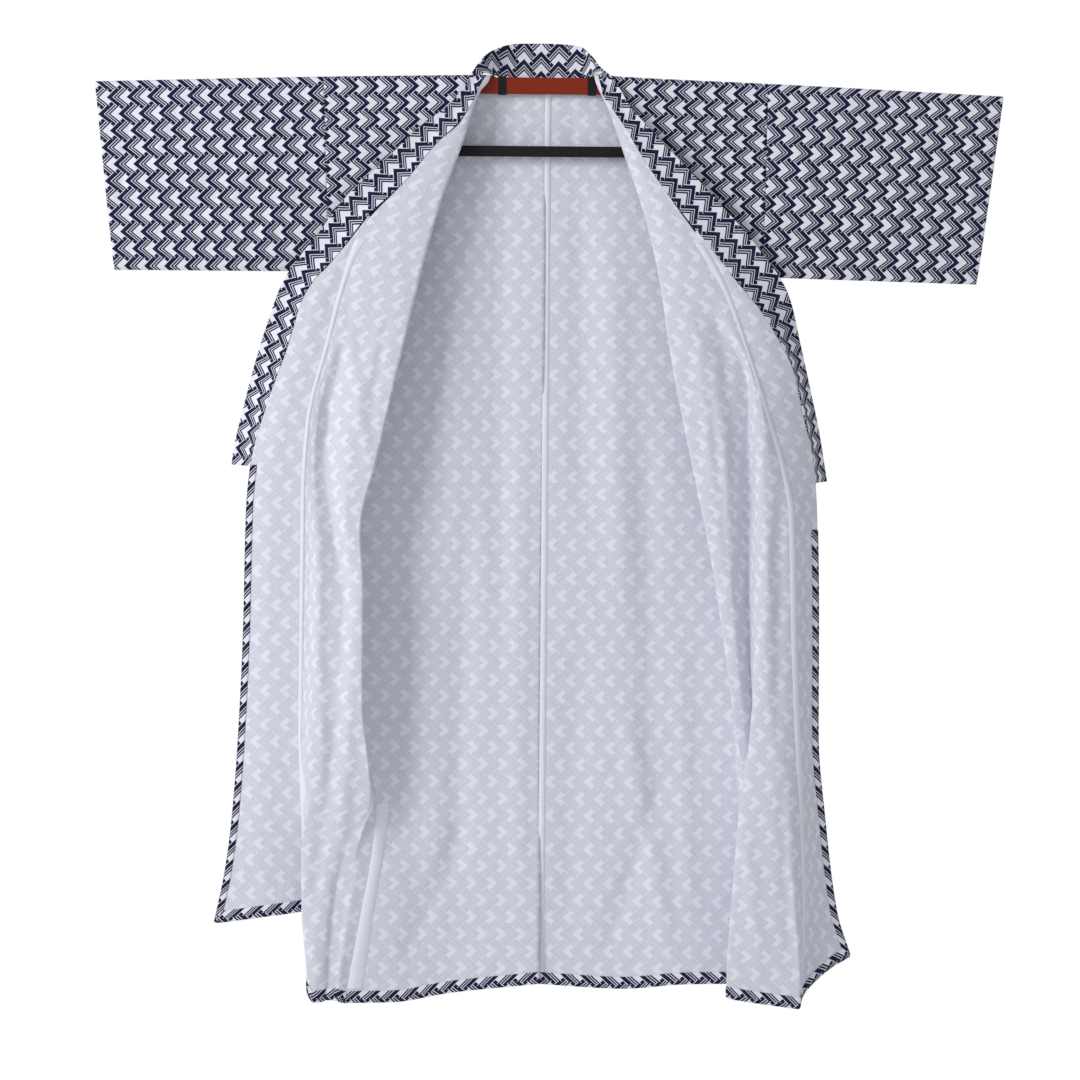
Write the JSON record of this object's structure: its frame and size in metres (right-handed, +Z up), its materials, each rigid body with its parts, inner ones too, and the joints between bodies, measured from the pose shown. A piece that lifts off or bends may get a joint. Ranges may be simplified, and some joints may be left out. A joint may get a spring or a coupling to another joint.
{
  "type": "cotton yukata robe on a hanger",
  "caption": "Cotton yukata robe with tube sleeves and a chevron print, hung on a bar hanger with both fronts turned back to show the inside.",
  "frame": {"origin": "middle of the hanger bar, where the hanger is held", "axes": "+Z up along the robe's length, front of the robe toward -Y, +X toward the wearer's left"},
  "size_m": [1.357, 0.104, 1.4381],
  "materials": {
    "printed_cotton": "plain-weave cotton, navy chevron print on white, matte",
    "plain_side": "reverse of the same cotton, the print showing faintly through, matte",
    "lacquered_wood": "red-brown lacquer, satin",
    "black_plastic": "black, satin"
  },
  "bodies": {
    "root": {"back_right": "plain_side", "back_left": "plain_side", "front_right": "plain_side", "front_left": "plain_side", "okumi_right": "plain_side", "okumi_left": "plain_side", "sleeve_right": "printed_cotton", "sleeve_left": "printed_cotton", "collar": "printed_cotton", "hanger_bar": "lacquered_wood", "hanger_arm_right": "black_plastic", "hanger_arm_left": "black_plastic", "hanger_band_right": "black_plastic", "hanger_band_left": "black_plastic", "obi_rod": "black_plastic", "obi_rod_link_right": "black_plastic", "obi_rod_link_left": "black_plastic"}
  },
  "joints": []
}
